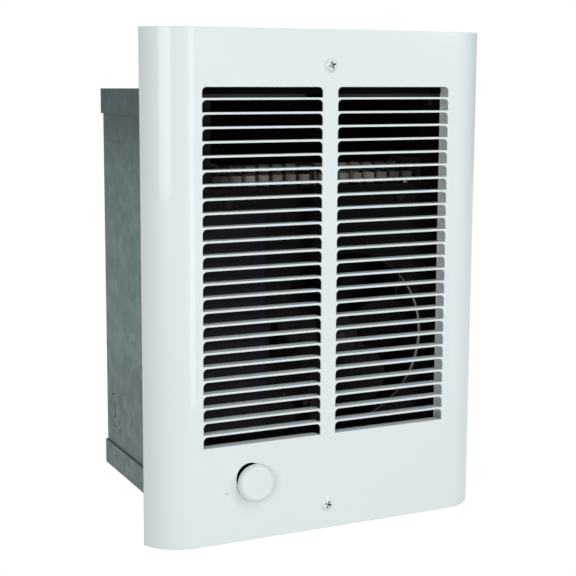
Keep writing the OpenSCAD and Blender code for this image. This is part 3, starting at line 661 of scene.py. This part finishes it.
class HEATER_OT_fan(bpy.types.Operator):
    """Finish the fan and its motor"""

    bl_idname = "heater.fan"
    bl_label = "Fan and motor"

    def execute(self, context):
        dress("fan_impeller", finish_material(
            "Fan sheet", "drawn_x", (0.006, 0.007, 0.008), (0.003, 0.0035, 0.004),
            800.0, (0.35, 0.5), bump=0.1, depth=0.04, level=0.10,
        ))
        # painted shade: the shaft is given a near-black tone because it sits in the dark inside
        dress("motor_shaft", finish_material(
            "Blued shaft", "drawn_x", (0.012, 0.013, 0.016), (0.006, 0.007, 0.009),
            1800.0, (0.3, 0.4), bump=0.06, depth=0.02, level=0.2,
        ))
        dress("thrust_washers", finish_material(
            "Nylon", "mould", (0.55, 0.50, 0.39), (0.48, 0.43, 0.33), 1100.0, (0.4, 0.55),
            bump=0.08, depth=0.03,
        ))
        # painted shade: the bobbin is darkened to near black where it sits in the dark inside
        dress("coil_bobbin", finish_material(
            "Black nylon", "mould", (0.010, 0.010, 0.011), (0.014, 0.014, 0.015),
            1100.0, (0.4, 0.55), bump=0.08, depth=0.03,
        ))
        stack = finish_material(
            "Stacked sheets", "layers", (0.26, 0.27, 0.28), (0.10, 0.10, 0.11), 300.0, (0.35, 0.5),
            bump=0.5, depth=0.15, metal=0.7,
        )
        dress(("motor_stator", "motor_rotor"), stack)
        # painted shade: the strap's zinc is darkened to near black
        dress("motor_bracket", finish_material(
            "Strap zinc", "spangle", (0.016, 0.018, 0.018), (0.010, 0.012, 0.012),
            180.0, (0.4, 0.55), bump=0.08, depth=0.05, metal=0.5,
        ))
        dress("motor_isolators", finish_material(
            "Rubber", "mould", (0.02, 0.02, 0.02), (0.028, 0.028, 0.028), 1000.0, (0.7, 0.85),
            bump=0.15, depth=0.04, level=0.3,
        ))
        casting = finish_material(
            "Bracket casting", "mould", (0.43, 0.44, 0.44), (0.34, 0.35, 0.35), 900.0, (0.35, 0.5),
            bump=0.25, depth=0.06, metal=0.85,
        )
        dress(("front_bearing_bracket", "rear_bearing_bracket"), casting)
        dress("shaft_bearings", finish_material(
            "Sintered bronze", "mould", (0.42, 0.27, 0.11), (0.30, 0.19, 0.08),
            1600.0, (0.35, 0.5), bump=0.25, depth=0.04, metal=0.9,
        ))
        dress("shading_rings", finish_material(
            "Copper bar", "drawn_y", (0.52, 0.23, 0.11), (0.36, 0.15, 0.07), 1200.0, (0.25, 0.4),
            bump=0.08, depth=0.03, metal=1.0,
        ))
        # painted shade: the copper coil wire is darkened to near black
        dress("motor_coil", finish_material(
            "Coil wire", "layers", (0.034, 0.013, 0.007), (0.012, 0.005, 0.003),
            700.0, (0.25, 0.4), bump=0.6, depth=0.2, coat=0.2,
        ))
        return {"FINISHED"}


class HEATER_OT_thermostat(bpy.types.Operator):
    """Finish the thermostat behind the knob"""

    bl_idname = "heater.thermostat"
    bl_label = "Thermostat"

    def execute(self, context):
        dress("thermostat_body", finish_material(
            "Thermostat moulding", "mould", (0.045, 0.034, 0.028), (0.032, 0.024, 0.02),
            900.0, (0.32, 0.48), bump=0.1, depth=0.04,
        ))
        dress("thermostat_shaft", finish_material(
            "Ground shaft", "drawn_x", (0.60, 0.61, 0.62), (0.48, 0.49, 0.50), 1800.0, (0.18, 0.28),
            bump=0.06, depth=0.02, metal=1.0,
        ))
        dress("thermostat_terminals", finish_material(
            "Turned brass", "drawn_z", (0.52, 0.39, 0.16), (0.38, 0.28, 0.11),
            1500.0, (0.22, 0.36), bump=0.08, depth=0.03, metal=1.0,
        ))
        # painted shade: the thermostat's bushing and nut are darkened to near black
        brass_in_shade = finish_material(
            "Blackened brass", "drawn_z", (0.012, 0.010, 0.008), (0.007, 0.006, 0.005),
            1500.0, (0.35, 0.5), bump=0.08, depth=0.03, level=0.2,
        )
        dress(("thermostat_bushing", "thermostat_nut"), brass_in_shade)
        return {"FINISHED"}


class HEATER_OT_wiring(bpy.types.Operator):
    """Finish the leads and their connectors"""

    bl_idname = "heater.wiring"
    bl_label = "Wiring"

    def execute(self, context):
        dress("wire_connectors", finish_material(
            "Connector moulding", "mould", (0.60, 0.16, 0.03), (0.52, 0.13, 0.025),
            900.0, (0.3, 0.42), bump=0.1, depth=0.04,
        ))
        for leads, label, color in (
            (("supply", "motor", "cutout"), "Black insulation", (0.010, 0.010, 0.011)),
            (("switched",), "Red insulation", (0.38, 0.025, 0.02)),
            (("return",), "Glass sleeving", (0.050, 0.049, 0.046)),
        ):
            sleeve = finish_material(
                label, "mould", color, shade_of(color, 0.85), 1200.0, (0.35, 0.5),
                bump=0.08, depth=0.03,
            )
            dress(["lead_" + lead for lead in leads], sleeve)
        return {"FINISHED"}


def add_lamp(name, place, size, power):
    """A soft rectangular white lamp that looks at the middle of the cover."""
    data = bpy.data.lights.new(name, "AREA")
    data.shape = "RECTANGLE"
    data.size, data.size_y = size
    data.energy = power
    lamp = bpy.data.objects.new(name, data)
    turn = (-Vector(place)).to_track_quat("-Z", "Y").to_matrix().to_4x4()
    lamp.matrix_world = Matrix.Translation(place) @ turn
    bpy.context.scene.collection.objects.link(lamp)


class HEATER_OT_stage(bpy.types.Operator):
    """Set up the camera, the lamps, the floor and the white surroundings"""

    bl_idname = "heater.stage"
    bl_label = "Stage"

    def execute(self, context):
        scene = context.scene
        setup = scene.heater_stage
        self.add_camera(scene, setup)
        self.add_floor(scene)
        self.light_room(scene, setup)
        for name, place, size, setting in LAMPS:
            add_lamp(name, place, size, getattr(setup, setting))
        scene.view_settings.view_transform = "Standard"
        return {"FINISHED"}

    def add_camera(self, scene, setup):
        """The camera of the photograph, from its fitted place, aim, roll and focal length."""
        data = bpy.data.cameras.new("Camera")
        data.sensor_fit = "HORIZONTAL"
        data.sensor_width = SENSOR
        data.lens = setup.focal_pixels / PHOTO_SIDE * SENSOR
        data.shift_x = 0.5 - setup.axis_x / PHOTO_SIDE
        data.shift_y = setup.axis_y / PHOTO_SIDE - 0.5
        data.clip_start = 0.01
        ahead = Vector(setup.camera_aim).normalized()
        level = ahead.cross(Vector((0, 0, 1))).normalized()
        above = level.cross(ahead)
        right = level * math.cos(setup.camera_roll) + above * math.sin(setup.camera_roll)
        up = above * math.cos(setup.camera_roll) - level * math.sin(setup.camera_roll)
        turn = Matrix((right, up, -ahead)).transposed().to_4x4()
        camera = bpy.data.objects.new("Camera", data)
        camera.matrix_world = Matrix.Translation(setup.camera_place) @ turn
        scene.collection.objects.link(camera)
        scene.camera = camera

    def add_floor(self, scene):
        """A pale floor well below the heater, which turns white where the room does."""
        mesh = bpy.data.meshes.new("Floor")
        shape = bmesh.new()
        bmesh.ops.create_grid(shape, x_segments=8, y_segments=8, size=FLOOR_HALF)
        bmesh.ops.translate(shape, verts=shape.verts, vec=(0.0, 0.0, -FLOOR_DROP))
        shape.to_mesh(mesh)
        shape.free()
        floor = bpy.data.objects.new("Floor", mesh)
        scene.collection.objects.link(floor)
        mat = bpy.data.materials.new("Pale floor")
        mat.use_nodes = True
        tree = mat.node_tree
        shader = tree.nodes["Principled BSDF"]
        shader.inputs["Base Color"].default_value = (0.80, 0.80, 0.80, 1.0)
        shader.inputs["Roughness"].default_value = 0.9
        glow = tree.nodes.new("ShaderNodeEmission")
        path = tree.nodes.new("ShaderNodeLightPath")
        spot = tree.nodes.new("ShaderNodeTexCoord")
        reach = tree.nodes.new("ShaderNodeVectorMath")
        reach.operation = "LENGTH"
        wire(tree, spot.outputs["Object"], reach.inputs[0])
        away = remap(tree, reach.outputs["Value"], *FLOOR_FADE)
        rays = (path.outputs["Is Camera Ray"], path.outputs["Is Glossy Ray"])
        seen = maths(tree, "MAXIMUM", *rays)
        mix = tree.nodes.new("ShaderNodeMixShader")
        wire(tree, maths(tree, "MULTIPLY", away, seen), mix.inputs["Fac"])
        wire(tree, shader.outputs["BSDF"], mix.inputs[1])
        wire(tree, glow.outputs["Emission"], mix.inputs[2])
        wire(tree, mix.outputs["Shader"], tree.nodes["Material Output"].inputs["Surface"])
        mesh.materials.append(mat)

    def light_room(self, scene, setup):
        """Even light from all round, in front of white for what the camera sees."""
        world = bpy.data.worlds.new("Room")
        world.use_nodes = True
        scene.world = world
        tree = world.node_tree
        even = tree.nodes["Background"]
        white = tree.nodes.new("ShaderNodeBackground")
        for background in (even, white):
            background.inputs["Color"].default_value = (1.0, 1.0, 1.0, 1.0)
        even.inputs["Strength"].default_value = setup.room_light
        path = tree.nodes.new("ShaderNodeLightPath")
        rays = (path.outputs["Is Camera Ray"], path.outputs["Is Transmission Ray"])
        seen = maths(tree, "MAXIMUM", *rays)
        mix = tree.nodes.new("ShaderNodeMixShader")
        wire(tree, seen, mix.inputs["Fac"])
        wire(tree, even.outputs["Background"], mix.inputs[1])
        wire(tree, white.outputs["Background"], mix.inputs[2])
        wire(tree, mix.outputs["Shader"], tree.nodes["World Output"].inputs["Surface"])


class HEATER_PT_panel(bpy.types.Panel):
    """Buttons for the heater's pieces"""

    bl_idname = "HEATER_PT_panel"
    bl_label = "Wall fan heater"
    bl_space_type = "VIEW_3D"
    bl_region_type = "UI"
    bl_category = "Heater"

    def draw(self, context):
        column = self.layout.column()
        for operator in OPERATORS:
            column.operator(operator.bl_idname)
        for group in (context.scene.heater_finish, context.scene.heater_stage):
            for label in group.__annotations__:
                column.prop(group, label)


OPERATORS = (
    HEATER_OT_cover,
    HEATER_OT_wall_box,
    HEATER_OT_chassis,
    HEATER_OT_element,
    HEATER_OT_fan,
    HEATER_OT_thermostat,
    HEATER_OT_wiring,
    HEATER_OT_stage,
)
CLASSES = (HeaterFinish, HeaterStage, *OPERATORS, HEATER_PT_panel)


def register():
    """Adds the classes and the scene's settings."""
    for item in CLASSES:
        bpy.utils.register_class(item)
    bpy.types.Scene.heater_finish = bpy.props.PointerProperty(type=HeaterFinish)
    bpy.types.Scene.heater_stage = bpy.props.PointerProperty(type=HeaterStage)


def unregister():
    """Takes them away again."""
    del bpy.types.Scene.heater_stage
    del bpy.types.Scene.heater_finish
    for item in reversed(CLASSES):
        bpy.utils.unregister_class(item)


def main():
    """Makes every piece in turn."""
    register()
    bpy.ops.heater.cover()
    bpy.ops.heater.wall_box()
    bpy.ops.heater.chassis()
    bpy.ops.heater.element()
    bpy.ops.heater.fan()
    bpy.ops.heater.thermostat()
    bpy.ops.heater.wiring()
    bpy.ops.heater.stage()


if __name__ == "__main__":
    main()
